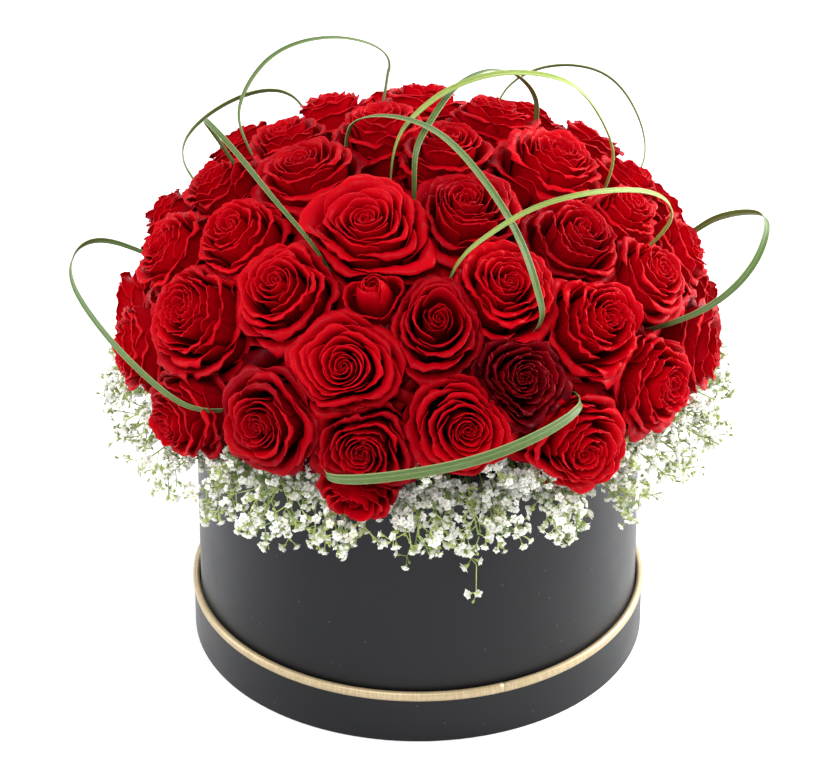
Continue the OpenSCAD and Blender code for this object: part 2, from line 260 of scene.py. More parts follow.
def grass_material(tree, shader, green):
    """Bear grass: leathery, with veins along the blade, a paler midrib and
    dry edges."""
    feed(tree, shader, {"Base Color": green, "Roughness": 0.42, "Specular IOR Level": 0.32})
    uv = add_node(tree, "UVMap", {"uv_map": "UVMap"}, {})
    across = add_node(tree, "SeparateXYZ", {}, {0: uv}, "X")
    # Veins 0.5 mm apart, ten to a blade 5 mm wide.
    turns = add_node(tree, "Math", TIMES, {0: across, 1: 10 * 2 * math.pi})
    veins = add_node(tree, "Math", {"operation": "COSINE"}, {0: turns})
    long = add_node(tree, "VectorMath", TIMES, {0: uv, 1: (14, 40, 1)})
    streak = add_node(tree, "TexNoise", {}, {"Vector": long, "Scale": 1, "Detail": 3})
    off = add_node(tree, "Math", {"operation": "SUBTRACT"}, {0: across, 1: 0.5})
    off = add_node(tree, "Math", {"operation": "ABSOLUTE"}, {0: off})
    pale = [min(1.0, c * 1.5 + 0.04) for c in green]
    body = tinted(tree, green, shade(green, 0.55), streak, 0.3, 0.7)
    body = tinted(tree, body, pale, veins, 0.2, 1, most=0.35)
    body = tinted(tree, body, pale, off, 0.03, 0.12, 0.55, 0)
    body = tinted(tree, body, linear("a3b074"), off, 0.40, 0.5, most=0.45)
    cover(tree, shader, body, (veins, 0.4, 0.08))


def floret_material(tree, shader, look):
    """Floret of baby's breath: papery white, with painted green grey shade in its
    folds. Some florets have aged to cream."""
    feed(tree, shader, {"Base Color": look.floret_white, "Roughness": 0.6})
    age, fold = patterns(tree, ("Noise", 11.8, 1), ("Noise", 1.11, 1))
    white = tinted(tree, look.floret_white, linear("e9e3c4"), age, 0.55, 0.8, most=0.5)
    # Painted shade: green grey in the folds of the florets.
    white = tinted(tree, white, linear("c9cfae"), fold, 0.55, 0.8, most=0.35)
    cover(tree, shader, white)


def sprig_material(tree, shader, look):
    """Stems, cups and buds of baby's breath: thin, waxy yellow green."""
    feed(tree, shader, {"Base Color": look.sprig_green, "Roughness": 0.55})
    (patch,) = patterns(tree, ("Noise", 6.25, 2))
    dark = shade(look.sprig_green, 0.295, 0.414, 0.282)
    cover(tree, shader, tinted(tree, dark, look.sprig_green, patch, 0.3, 0.7))


def black_paper_material(tree, shader, look):
    """Covering paper, coloured in the pulp and calendered to a satin face:
    charcoal with soft wide reflections, a fine fibre tooth and stray dust."""
    satin = {"Roughness": 0.40, "Specular IOR Level": 0.26}
    sheen = {"Sheen Weight": 0.12, "Sheen Roughness": 0.35}
    feed(tree, shader, {"Base Color": look.paper_black, **satin, **sheen})
    # Fibre tooth is about 0.4 mm across, and drawn coarser so that it shows.
    tooth, cloud, dust = patterns(
        tree, ("Noise", 0.625, 3), ("Noise", 35.7, 4), ("Voronoi", 9.09, 0)
    )
    thin, thick = shade(look.paper_black, 0.88), shade(look.paper_black, 1.14)
    tint = tinted(tree, thin, thick, cloud, 0.3, 0.7)
    tint = tinted(tree, tint, linear("8c8c90"), dust, 0.035, 0.05, 0.30, 0)
    cover(tree, shader, tint, (tooth, 0.25, 0.06))
    reach = {"From Min": 0.3, "From Max": 0.7, "To Min": 0.38, "To Max": 0.47}
    rough = add_node(tree, "MapRange", SOFT, {"Value": cloud, **reach})
    feed(tree, shader, {"Roughness": rough})


def board_material(tree, shader, look):
    """Grey board, wound from recycled pulp: matt, with short fibres and flecks."""
    feed(tree, shader, {"Base Color": look.board_grey, "Roughness": 0.85})
    (pulp,) = patterns(tree, ("Noise", 1.053, 4))
    tint = tinted(tree, shade(look.board_grey, 0.68), look.board_grey, pulp, 0.3, 0.7)
    cover(tree, shader, tint, (pulp, 0.3, 0.15))


def gold_braid_material(tree, shader, look):
    """Flat foil-wrapped braid: warm pale gold, with the fine cross lines of
    the winding, and browner where the foil is rubbed."""
    finish = {"Metallic": 0.3, "Roughness": 0.4, "Coat Weight": 0.1, "Coat Roughness": 0.3}
    feed(tree, shader, {"Base Color": look.gold, **finish})
    here = add_node(tree, "TexCoord", {}, {}, "Object")
    # The pattern runs along the arc round the lid and up its height.
    split = add_node(tree, "SeparateXYZ", {}, {0: here}).node.outputs
    sides = {0: split["Y"], 1: split["X"]}
    turn = add_node(tree, "Math", {"operation": "ARCTAN2"}, sides)
    arc = add_node(tree, "Math", TIMES, {0: turn, 1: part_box("lid_trim")[1].x})
    round_lid = add_node(tree, "CombineXYZ", {}, {0: arc, 2: split["Z"]})
    drawn = []
    # Windings lie 0.6 mm apart; rubbed patches are 17 mm long and 3 mm tall.
    for wide, tall, detail in (0.606, 6.25, 2), (16.7, 3.33, 3):
        scale = (1 / (wide * MM), 1, 1 / (tall * MM))
        place = add_node(tree, "VectorMath", TIMES, {0: round_lid, 1: scale})
        marks = {"Vector": place, "Scale": 1, "Detail": detail}
        drawn.append(add_node(tree, "TexNoise", {}, marks))
    lines, rubbed = drawn
    tint = tinted(tree, shade(look.gold, 0.783, 0.741, 0.684), look.gold, lines, 0.35, 0.7)
    tint = tinted(tree, tint, shade(look.gold, 0.482, 0.410, 0.326), rubbed, 0.6, 0.85, most=0.5)
    cover(tree, shader, tint, (lines, 0.3, 0.1))


def liner_material(tree, shader, look):
    """Injection-moulded polypropylene pot: waxy and slightly cloudy."""
    feed(tree, shader, {"Base Color": look.liner_grey, "Roughness": 0.38, "IOR": 1.49})
    (haze,) = patterns(tree, ("Noise", 16.7, 4))
    reach = {"From Min": 0.3, "From Max": 0.7, "To Min": 0.32, "To Max": 0.5}
    rough = add_node(tree, "MapRange", SOFT, {"Value": haze, **reach})
    feed(tree, shader, {"Roughness": rough})


def foam_material(tree, shader, look):
    """Soaked floral foam: dark green, matt, with open cells drawn 0.9 mm wide
    so that they show, painted shade in their hollows, and damp patches."""
    feed(tree, shader, {"Base Color": look.foam_green, "Roughness": 0.8})
    cells, damp = patterns(tree, ("Voronoi", 0.909, 0), ("Noise", 25, 4))
    wet = shade(look.foam_green, 0.400, 0.466, 0.465)
    cell_hollow_shade = shade(look.foam_green, 0.175, 0.166, 0.236)
    tint = tinted(tree, wet, look.foam_green, damp, 0.3, 0.7)
    # Painted shade in the hollows of the open cells.
    tint = tinted(tree, tint, cell_hollow_shade, cells, 0.2, 0.7, most=0.6)
    cover(tree, shader, tint, (cells, 0.6, 0.3))


def floor_material(tree, shader, look):
    """Matt white studio floor."""
    finish = {"Roughness": 0.9, "Specular IOR Level": 0.1}
    feed(tree, shader, {"Base Color": look.floor_white, **finish})


def material(name, lay, look):
    """The material of this name; a new one is laid on by the function lay."""
    made = bpy.data.materials.get(name)
    if not made:
        made = bpy.data.materials.new(name)
        made.use_nodes = True
        shader = made.node_tree.nodes["Principled BSDF"]
        lay(made.node_tree, shader, look)
        made.diffuse_color = shader.inputs["Base Color"].default_value
    return made


def finish_node(node, made):
    """Gives a CAD node that keeps its shape its finish."""
    slots = frame["nodes"][node].data.materials
    slots.clear()
    slots.append(made)


# ---- Reading the frame ----


def islands(node):
    """Loose solids of a CAD node. Each is its corners and, for each corner,
    the corners it is joined to."""
    bm = bmesh.new()
    bm.from_mesh(frame["nodes"][node].data)
    bmesh.ops.remove_doubles(bm, verts=bm.verts, dist=1e-6)
    found, seen = [], set()
    for start in bm.verts:
        if start in seen:
            continue
        seen.add(start)
        group = [start]
        for vert in group:
            for edge in vert.link_edges:
                other = edge.other_vert(vert)
                if other not in seen:
                    seen.add(other)
                    group.append(other)
        number = {vert: i for i, vert in enumerate(group)}
        joined = [[number[e.other_vert(v)] for e in v.link_edges] for v in group]
        found.append((np.array([v.co for v in group]), joined))
    bm.free()
    return found


def unit(v):
    """v at length 1."""
    return v / np.linalg.norm(v)


def dome_normal(point):
    """Rough outward direction of the dome of roses at a point near it."""
    flat = np.array([1, 1, 1 / DOME_RISE**2]) / DOME_R**2
    return unit((point - DOME_MIDDLE) * flat)


class Bloom:
    """A rose head's room: its foot, its own axes, its height and how far it
    reaches to each side."""

    # A bloom stands a little over its solid, and fills the dips between the
    # solid's points.
    OVER, FILL = 1.06, 1.14

    def __init__(self, points):
        n = dome_normal(points.mean(0))
        # The head's own axis is square to the ring of its lowest corners.
        for _ in range(2):
            lowest = points[np.argsort(points @ n)[:10]]
            square = np.linalg.svd(lowest - lowest.mean(0))[2][2]
            n = square * np.sign(square @ n)
        self.foot = lowest.mean(0)
        self.n = n
        self.u = unit(np.cross([0, 0, 1.0], n) + [1e-9, 0, 0])
        self.v = np.cross(n, self.u)
        rel = points - self.foot
        up = rel @ n
        self.height = self.OVER * up.max()
        ring = (up > 0.40 * self.height) & (up < 0.60 * self.height)
        angle = np.arctan2(rel[ring] @ self.v, rel[ring] @ self.u)
        reach = np.hypot(rel[ring] @ self.v, rel[ring] @ self.u)
        order = np.argsort(angle)
        self.angles, self.reach = angle[order], self.FILL * reach[order]
        self.width = 2 * self.reach.mean()

    def room(self, angle):
        """Reach of the head in each direction, smoothed a little."""
        at, before, after = (
            np.interp(angle + off, self.angles, self.reach, period=2 * math.pi)
            for off in (0, -0.25, 0.25)
        )
        return (2 * at + before + after) / 4

    def place(self, x, y, z):
        """Where the points x, y across and z up the head lie."""
        return self.foot + x[:, None] * self.u + y[:, None] * self.v + z[:, None] * self.n


# ---- Meshes and pieces ----


def as_mesh(bm, name):
    """The mesh of what bm holds; bm is freed."""
    mesh = bpy.data.meshes.new(name)
    bm.to_mesh(mesh)
    bm.free()
    return mesh


def sheets(count, across, along):
    """A mesh of count flat sheets, with (u, t, number) of every corner: u from
    -1 to 1 across, t from 0 at the foot to 1 at the edge."""
    bm = bmesh.new()
    bm.loops.layers.uv.new("UVMap")
    for k in range(count):
        # A sheet's height is its number, until its corners are placed.
        lift = Matrix.Translation((0, 0, k))
        bmesh.ops.create_grid(
            bm, x_segments=across, y_segments=along, size=1, matrix=lift, calc_uvs=True
        )
    mesh = as_mesh(bm, "sheets")
    flat = np.zeros(len(mesh.vertices) * 3)
    mesh.vertices.foreach_get("co", flat)
    x, y, z = flat.reshape(-1, 3).T
    return mesh, x, (y + 1) / 2, np.rint(z).astype(int)


def set_corners(mesh, points):
    """Moves the corners to their places and smooths the mesh."""
    mesh.vertices.foreach_set("co", np.asarray(points, np.float32).ravel())
    mesh.polygons.foreach_set("use_smooth", [True] * len(mesh.polygons))
    mesh.update()


def point_value(mesh, name, values):
    """Stores one number for each corner, which a material can read."""
    layer = mesh.attributes.new(name, "FLOAT", "POINT")
    layer.data.foreach_set("value", np.asarray(values, np.float32))


def add_object(name, data):
    """A new object in the scene."""
    obj = bpy.data.objects.new(name, data)
    bpy.context.scene.collection.objects.link(obj)
    return obj


def add_piece(name, mesh, body, slot, materials, node=None):
    """Makes the object of a finished piece, gives it its materials, hangs it on its body and hides
    the CAD node that it stands in for, if one is given.
    """
    mesh.name = name
    obj = add_object(name, mesh)
    for made in materials:
        mesh.materials.append(made)
    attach(obj, body)
    if node:
        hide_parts(node)
    return obj


def thicken(obj, thickness):
    """Gives a sheet its thickness, half to each side."""
    made = obj.modifiers.new("thickness", "SOLIDIFY")
    made.thickness = thickness
    made.offset = 0
    made.use_even_offset = False


# ---- Roses ----

# Whorls of a bloom from its heart out: [petals, radius of the cup, roll of
# the edge outwards, height, drop of the edge, half angle of a petal, slant],
# lengths as shares of the head's reach and height.
CLASSIC = [
    [1, 0.045, 0, 0.93, 0, 172, 0.026],
    [2, 0.085, 0.008, 0.95, 0, 130, 0.034],
    [3, 0.145, 0.025, 0.97, 0, 100, 0.04],
    [3, 0.22, 0.055, 0.99, 0, 92, 0.045],
    [4, 0.31, 0.105, 0.99, 0.01, 76, 0.048],
    [4, 0.42, 0.17, 0.98, 0.03, 70, 0.05],
    [5, 0.54, 0.245, 0.95, 0.06, 60, 0.048],
    [5, 0.67, 0.335, 0.88, 0.1, 58, 0.044],
    [5, 0.78, 0.4, 0.74, 0.12, 52, 0.05],
    [4, 0.86, 0.42, 0.5, 0.12, 50, 0.05],
]
# Older garden form: more, shorter petals, crowded and crimped.
CROWDED = [
    [1, 0.045, 0, 0.91, 0, 170, 0.03],
    [3, 0.11, 0.012, 0.94, 0, 90, 0.04],
    [4, 0.185, 0.03, 0.97, 0, 66, 0.045],
    [5, 0.27, 0.055, 0.98, 0.01, 55, 0.045],
    [5, 0.365, 0.09, 0.98, 0.01, 54, 0.045],
    [6, 0.47, 0.13, 0.96, 0.03, 46, 0.045],
    [6, 0.58, 0.19, 0.92, 0.05, 45, 0.045],
    [6, 0.7, 0.28, 0.85, 0.09, 46, 0.04],
    [5, 0.79, 0.38, 0.72, 0.12, 52, 0.045],
    [4, 0.86, 0.42, 0.48, 0.12, 50, 0.05],
]
# Half-open form: a bud deep in a wide cup.
CUPPED = [
    [1, 0.05, 0, 0.86, 0, 172, 0.03],
    [3, 0.12, 0.008, 0.88, 0, 96, 0.04],
    [3, 0.2, 0.015, 0.89, 0, 90, 0.04],
    [4, 0.29, 0.025, 0.88, 0, 66, 0.04],
    [3, 0.48, 0.15, 1.00, 0.02, 74, 0.06],
    [4, 0.58, 0.22, 0.96, 0.05, 64, 0.05],
    [5, 0.68, 0.31, 0.87, 0.09, 57, 0.04],
    [5, 0.78, 0.39, 0.72, 0.12, 54, 0.05],
    [4, 0.86, 0.42, 0.48, 0.12, 50, 0.05],
]
# A bud whose broad outer petals are still closed over its heart.
BUD = [
    [1, 0.05, 0, 0.86, 0, 172, 0.03],
    [2, 0.16, -0.05, 0.92, 0, 130, 0.05],
    [2, 0.34, -0.17, 0.97, 0, 112, 0.08],
    [3, 0.56, -0.26, 0.93, 0, 88, 0.08],
    [4, 0.74, 0.16, 0.72, 0.06, 60, 0.05],
    [4, 0.86, 0.42, 0.48, 0.12, 50, 0.05],
]
# Blooms that differ from the rest: [form, tone, ruffle, point of the petals].
SPECIAL = {
    "rose_03": (CLASSIC, 0.96, 0.5, 0.34),
    "rose_09": (BUD, 0.90, 0.5, 0.08),
    "rose_10": (CUPPED, 0.62, 1.3, 0.15),
    "rose_20": (CROWDED, 0.18, 1.9, 0.05),
    "rose_22": (CLASSIC, 0.55, 1.0, 0.10),
    "rose_23": (CROWDED, 0.66, 1.2, 0.10),
    "rose_32": (CUPPED, 0.62, 1.4, 0.05),
}
# Cells across and along a petal, of the heads in front and of those behind.
FINE, COARSE = (20, 8), (10, 8)


def petal_table(whorls, rng, point, crumple):
    """One row for each petal of a bloom: the whorl's numbers, and the petal's
    own turn, slack, wave and phases."""
    rows, turn, hand = [], rng.uniform(0, 360), rng.choice((-1, 1))
    for j, (count, cup, roll, high, drop, half, slant) in enumerate(whorls):
        turn += 137.5
        outer = j / (len(whorls) - 1)
        # A crumpled heart has lost its spiral: its petals fold over each other.
        mess = crumple * (1 - outer) if j else 0
        for i in range(count):
            slack, fold = rng.uniform(-1, 1), rng.uniform(-1, 1)
            row = [
                math.radians(
                    turn
                    + 360 * i / count
                    + rng.uniform(-9, 9) * (0.3 + outer)
                    + 40 * mess * fold
                ),
                cup * (1 + (0.05 + 0.30 * mess) * slack),
                roll * (1 + 0.30 * rng.uniform(-1, 1)),
                high + 0.035 * rng.uniform(-1, 1) * (0.3 + outer) - 0.08 * mess * abs(fold),
                drop + 0.05 * outer * outer * rng.uniform(-0.6, 1.2),
                math.radians(half * (1 + 0.08 * rng.uniform(-1, 1) - 0.35 * mess * abs(fold))),
                slant * hand * (1 + 2 * mess * fold),
                outer,
                point * (0.3 + 0.7 * outer) * rng.uniform(0.6, 1.2),
                rng.uniform(0, 2 * math.pi),
                rng.uniform(0, 2 * math.pi),
                rng.uniform(-1, 1),
            ]
            rows.append(row)
    return np.array(rows)


def bloom_points(bloom, table, u, t, k, ruffle, rng):
    """Where the corners of all petals of one bloom lie."""
    turn, cup, roll, high, drop, half, slant, outer, point, ph1, ph2, own = table[k].T
    s = 1 - (1 - t) ** 1.45
    side = np.abs(u)
    # The edge is lower at the sides, so that a petal is round from the front.
    s = s * (1 - (0.20 + 0.10 * outer) * side**2.6 - 0.03 * outer * np.cos(3 * u + ph1) * t)
    # Its edge is torn and scalloped, more so on the old outer petals.
    torn = np.sin(8.3 * u + ph2) + np.sin(13.7 * u + 2 * ph1) + 0.7 * np.sin(23 * u + ph1 + ph2)
    s = s * (1 - 0.020 * ruffle * (0.3 + outer) * (1 + torn / 2) * t**3)
    b = 1 - s
    weights = [b**5, 5 * b**4 * s, 10 * b**3 * s**2, 10 * b**2 * s**3, 5 * b * s**4, s**5]
    mouth, lip = 0.92 * cup + 0.07 * roll, cup + 0.54 * roll
    radii = [0.06, 0.85 * cup + 0.08, 1.20 * cup, mouth, lip, cup + roll]
    highs = [0, 0, 0.42 * high, 0.89 * high, 1.02 * high, high - 0.9 * drop]
    r = sum(w * x for w, x in zip(weights, radii))
    z = sum(w * x for w, x in zip(weights, highs))
    r = r + slant * u * s * (1 + 0.6 * outer)
    edge = s**4
    wave = np.sin(4.2 * u + ph1) + 0.7 * np.sin(9.0 * u + ph2) + 0.35 * np.sin(21 * u + 3 * ph1)
    z = z + ruffle * (0.006 + 0.016 * outer) * wave * edge
    r = r + ruffle * (0.004 + 0.016 * outer) * np.sin(6.1 * u + ph2 + 1.3) * edge
    # Soft dents, wide ones and creases that run up to the edge.
    r = r + 0.012 * outer * np.sin(3.3 * u + 5 * t + ph2) * np.sin(math.pi * s)
    crease = np.sin(9 * u + 3 * t + ph1) + np.sin(16 * u - 5 * t + 2 * ph2)
    z = z + 0.006 * (0.4 + outer) * ruffle * crease * s**2
    # The sides of an open petal roll back further than its middle.
    back = outer * edge * side**3
    z = z - 0.09 * back
    wide = half * (0.50 + 0.50 * np.sin(np.minimum(1, s / 0.62) * math.pi / 2))
    wide = wide * (1 - point * np.clip((s - 0.66) / 0.34, 0, 1) ** 1.5)
    angle = turn + u * wide + 0.05 * own * s
    reach = bloom.room(angle)
    mean = bloom.width / 2
    share = np.clip((r - 0.25) / 0.6, 0, 1)
    share = share * share * (3 - 2 * share)
    reach = mean * (1 - share) + reach * share
    tip = rng.uniform(0, 2 * math.pi)
    lean = 0.10 * rng.uniform(0.2, 1) * mean * np.clip(z, 0, 1) ** 2 * (1 - share)
    x = r * reach * np.cos(angle) + lean * math.cos(tip)
    y = r * reach * np.sin(angle) + lean * math.sin(tip)
    return bloom.place(x, y, z * bloom.height), s


def grow_roses(name, node, look, rng):
    """Makes the blooms of one CAD node as one piece."""
    heads = [Bloom(points) for points, _ in islands(node)]
    plans = []
    for _ in heads:
        crumple = rng.choice([0.0, 0.0, 0.3, 0.7, 1.0])
        if node in SPECIAL:
            form, tone, ruffle, point = SPECIAL[node]
            crumple = 0.2
        else:
            form = rng.choice([CLASSIC, CLASSIC, CLASSIC, CROWDED])
            tone, ruffle = rng.uniform(0.62, 1.0), rng.uniform(0.7, 1.4)
            point = rng.uniform(0.05, 0.25)
        plans.append((petal_table(form, rng, point, crumple), tone, ruffle))
    total = sum(len(plan[0]) for plan in plans)
    mesh, u, t, k = sheets(total, *(FINE if len(heads) == 1 else COARSE))
    points, tone_and_shade, out_of_foot_shade = np.zeros((len(u), 3)), np.zeros(len(u)), np.zeros(len(u))
    first = 0
    for head, (table, tone, ruffle) in zip(heads, plans):
        mine = (k >= first) & (k < first + len(table))
        kk = k[mine] - first
        where, s = bloom_points(head, table, u[mine], t[mine], kk, ruffle * look.ruffle, rng)
        points[mine] = where
        own = table[kk, 11]
        outer = table[kk, 7]
        # Each bloom's and each petal's own tone, lowered on the outermost petals as painted shade
        # in the gaps between heads.
        tone_and_shade[mine] = np.clip(tone + 0.14 * own - 0.28 * outer**6, 0, 1)
        # How far each corner lies out of the painted shade at the foot of its petal.
        low = 0.34 - 0.12 * outer
        out_of_foot_shade[mine] = np.clip((s - low) / (0.75 - low), 0, 1)
        first += len(table)
    set_corners(mesh, points)
    point_value(mesh, "tone", tone_and_shade)
    point_value(mesh, "depth", out_of_foot_shade)
    velvet = material("rose petal velvet", rose_petal_material, look)
    obj = add_piece(name, mesh, "bouquet", "rose_petal", [velvet], node)
    thicken(obj, look.petal_thickness)
    return heads


class FLOWERBOX_OT_roses(bpy.types.Operator):
    """Grow the blooms, petal by petal, in the room of each head"""

    bl_idname = "flowerbox.roses"
    bl_label = "Roses"

    def execute(self, context):
        look = context.scene.flower_roses
        rng = random.Random(look.seed)
        heads = []
        for node in sorted(n for n in frame["nodes"] if n.startswith("rose")):
            if node != "rose_stems":
                heads += grow_roses(node.replace("rose", "bloom"), node, look, rng)
        grow_sepals(heads, look, rng)
        return {"FINISHED"}


def grow_sepals(heads, look, rng):
    """Five narrow leaves hang back from the calyx of every bloom."""
    count = 5
    mesh, u, t, k = sheets(count * len(heads), 2, 4)
    points = np.zeros((len(u), 3))
    for i, head in enumerate(heads):
        for j in range(count):
            mine = k == count * i + j
            turn = 2 * math.pi * (j + rng.uniform(-0.15, 0.15)) / count
            long, droop = rng.uniform(15, 20) * MM, rng.uniform(0.2, 1.0)
            s, w = t[mine], u[mine] * 3.0 * MM * np.sin(math.pi * (0.12 + 0.86 * t[mine]))
            r = 5.2 * MM + long * s * (0.75 - 0.25 * droop * s)
            z = -2.0 * MM + long * (0.35 * s - (0.6 + droop) * s * s) + np.abs(w) * 0.4
            x, y = math.cos(turn), math.sin(turn)
            points[mine] = head.place(r * x - w * y, r * y + w * x, z)
    set_corners(mesh, points)
    wood = material("rose stem green wood", rose_stem_material, look)
    thicken(add_piece("rose_sepals", mesh, "bouquet", "rose_stem", [wood]), 0.5 * MM)
    finish_node("rose_stems", wood)


# ---- Grass ----


def blade_sections(node):
    """Cross sections of a blade from one end to the other, each a row of its
    middle, its sideways direction and half its width, read from its solid."""
    points, joined = islands(node)[0]
    # The end ring is the four corners deepest in the foam.
    deep = int(np.argmin(np.linalg.norm(points - DOME_MIDDLE, axis=1)))
    near = np.argsort(np.linalg.norm(points - points[deep], axis=1))[:4]
    ring, seen, rings = list(near), set(near), []
    while ring:
        rings.append(points[ring])
        following = sorted({j for i in ring for j in joined[i]} - seen)
        seen.update(following)
        ring = following
    sections = []
    for ring in rings:
        if len(ring) != 4:
            raise RuntimeError(f"{node}: a section of the blade has {len(ring)} corners")
        pairs = [(a, b) for i, a in enumerate(ring) for b in ring[:i]]
        left, right = max(pairs, key=lambda pair: np.linalg.norm(pair[0] - pair[1]))
        if sections and (left - right) @ sections[-1][3:6] < 0:
            left, right = right, left
        wide = left - right
        sections.append([*(left + right) / 2, *unit(wide), np.linalg.norm(wide) / 2])
    return np.array(sections)


def along_spline(values, steps):
    """Catmull-Rom curve through rows of values, steps to a stretch."""
    p = np.vstack([2 * values[0] - values[1], values, 2 * values[-1] - values[-2]])
    u = np.linspace(0, 1, steps, endpoint=False)[:, None]
    out = []
    for a, b, c, d in zip(p, p[1:], p[2:], p[3:]):
        square, cube = 2 * a - 5 * b + 4 * c - d, 3 * b - a - 3 * c + d
        out.append(0.5 * (2 * b + (c - a) * u + square * u**2 + cube * u**3))
    return np.vstack([*out, values[-1:]])


# Width of a blade as a share of its solid's: most have curled in on
# themselves, and those of these numbers more or less than the rest.
CURLED = 0.74
WIDTHS = {3: 0.52, 5: 0.82, 6: 1.05, 9: 0.54, 10: 0.82, 11: 1.10}
# Height of a blade's keel as a share of its width.
KEEL = 0.16


def bend_blade(node, slot, made, thickness):
    """Makes the blade of one CAD node along its loop."""
    rows = blade_sections(node)
    for _ in range(4):
        rows[1:-1] = (rows[:-2] + 2 * rows[1:-1] + rows[2:]) / 4
    line = along_spline(rows, 4)
    mesh, u, t, _ = sheets(1, 8, len(line) - 1)
    row = np.rint(t * (len(line) - 1)).astype(int)
    run = np.gradient(line[:, :3], axis=0)
    run /= np.linalg.norm(run, axis=1)[:, None]
    side = line[:, 3:6] / np.linalg.norm(line[:, 3:6], axis=1)[:, None]
    out = np.cross(run, side)
    # The keel points away from a place in the box, 20 mm below its rim.
    away = line[:, :3] - [0, 0, RIM_Z - 20 * MM]
    out *= np.sign(np.sum(out * away, axis=1))[:, None]
    half = WIDTHS.get(int(node[-2:]), CURLED) * line[row, 6]
    keel = (np.abs(u) - 0.5) * KEEL * half * 2
    set_corners(mesh, line[row, :3] + side[row] * (u * half)[:, None] + out[row] * keel[:, None])
    name = node.replace("grass", "grass_blade")
    thicken(add_piece(name, mesh, "bouquet", slot, [made], node), thickness)


class FLOWERBOX_OT_grass(bpy.types.Operator):
    """Bend the blades of bear grass along their loops"""

    bl_idname = "flowerbox.grass"
    bl_label = "Grass"

    def execute(self, context):
        look = context.scene.flower_green
        slots = {part["node"]: part["material_slot"] for part in frame["record"]["subparts"]}
        young, old = ("young bear grass", look.blade_light), ("bear grass", look.blade_green)
        for node in sorted(n for n in frame["nodes"] if n.startswith("grass")):
            name, green = young if slots[node] == "grass_light" else old
            made = material(name, grass_material, green)
            bend_blade(node, slots[node], made, look.blade_thickness)
        return {"FINISHED"}


# ---- Baby's breath ----


def frame_on(direction, origin, size=1.0, spin=0.0):
    """Matrix that lays a shape's Z along direction, at origin."""
    turn = Vector(direction).to_track_quat("Z", "Y").to_matrix().to_4x4()
    return Matrix.Translation(origin) @ turn @ Matrix.Rotation(spin, 4, "Z") @ Matrix.Scale(size, 4)


def copies(stamps):
    """One mesh with a copy of each small shape for each of its matrices."""
    bm = bmesh.new()
    points = []
    for shape, matrices in stamps:
        corners = np.ones((len(shape.vertices), 4))
        corners[:, :3] = [v.co for v in shape.vertices]
        for matrix in matrices:
            bm.from_mesh(shape, face_normals=False, vertex_normals=False)
            points.append(corners @ np.array(matrix).T[:, :3])
    mesh = as_mesh(bm, "copies")
    mesh.vertices.foreach_set("co", np.vstack(points).astype(np.float32).ravel())
    mesh.update()
    return mesh


def closed(bm, name, green):
    """The mesh of bm, its corners joined and its faces turned outwards. The
    green faces hold material 1, the others 0."""
    for face in green:
        face.material_index = 1
    bmesh.ops.remove_doubles(bm, verts=bm.verts, dist=1e-6)
    bmesh.ops.recalc_face_normals(bm, faces=bm.faces)
    return as_mesh(bm, name)


def floret_shape():
    """Double floret of radius 1 that opens along Z: folded petals in two
    layers on a green cup."""
    bm = bmesh.new()
    # Petals, their reach, lift and half width, and the turn of the layer.
    for count, reach, lift, half, first in (5, 1.0, 0.30, 0.42, 0.0), (4, 0.66, 0.62, 0.36, 0.5):
        x, z = 0.62 * reach, 0.9 * lift
        corners = (x, -half, z), (reach, 0, lift), (x, half, z)
        for i in range(count):
            verts = bmesh.ops.create_cone(
                bm, cap_ends=True, segments=3, radius1=1, radius2=0, depth=1
            )["verts"]
            foot = max(verts, key=lambda v: v.co.z)
            rest = [v for v in verts if v is not foot]
            rest.sort(key=lambda v: math.atan2(v.co.y, v.co.x))
            foot.co = (0.04, 0, -0.12)
            for vert, corner in zip(rest, corners):
                vert.co = corner
            turn = Matrix.Rotation(2 * math.pi * (i + first) / count + 0.1 * i, 4, "Z")
            bmesh.ops.transform(bm, matrix=turn, verts=verts)
    low = Matrix.Translation((0, 0, -0.40))
    cup = bmesh.ops.create_cone(
        bm, cap_ends=True, segments=4, radius1=0.12, radius2=0.40, depth=0.72, matrix=low
    )["verts"]
    return closed(bm, "floret", {face for vert in cup for face in vert.link_faces})


def bud_shape():
    """Green bud of length 1 along Z."""
    bm = bmesh.new()
    slim = Matrix.Diagonal((0.8, 0.8, 1.1, 1))
    bmesh.ops.create_icosphere(bm, subdivisions=1, radius=0.5, matrix=slim)
    return closed(bm, "bud", bm.faces)


def tube_shape():
    """Green three-sided tube of radius 1 and length 1 along Z, from its foot."""
    bm = bmesh.new()
    up = Matrix.Translation((0, 0, 0.5))
    bmesh.ops.create_cone(
        bm, cap_ends=True, segments=3, radius1=1, radius2=0.8, depth=1, matrix=up
    )
    return closed(bm, "tube", bm.faces)


# Sprigs that hang free in front of the box: [azimuth from the front in
# degrees, distance from the axis, height where they leave the skirt, and
# steps down as (turn in degrees, fall in millimetres)].
HANGING = [
    [5, 133, 142, [(2.5, 9), (3, 9), (2.5, 8), (0, 19)]],
    [7.5, 131, 138, [(1, 8), (2, 7)]],
    [-2, 132, 138, [(0.5, 9), (-1, 7)]],
    [-24, 129, 140, [(0, 9), (0.3, 11)]],
    [-30, 129, 140, [(-0.5, 9), (-0.5, 12)]],
    [-17, 131, 140, [(1, 8), (0.5, 8)]],
    [31, 133, 143, [(1.5, 9), (1, 9)]],
    [37, 132, 143, [(1, 8), (2, 8)]],
    [41, 131, 143, [(-2, 9), (1, 8)]],
    [70, 130, 140, [(1, 9), (1, 8)]],
    [112, 131, 142, [(1, 9), (1, 10)]],
    [150, 131, 140, [(1, 9), (-1, 9), (0.5, 12)]],
    [-170, 131, 142, [(1, 9), (1, 8)]],
    [-128, 131, 140, [(1, 9), (-1, 11)]],
    [-75, 130, 140, [(1, 9), (1, 9)]],
]


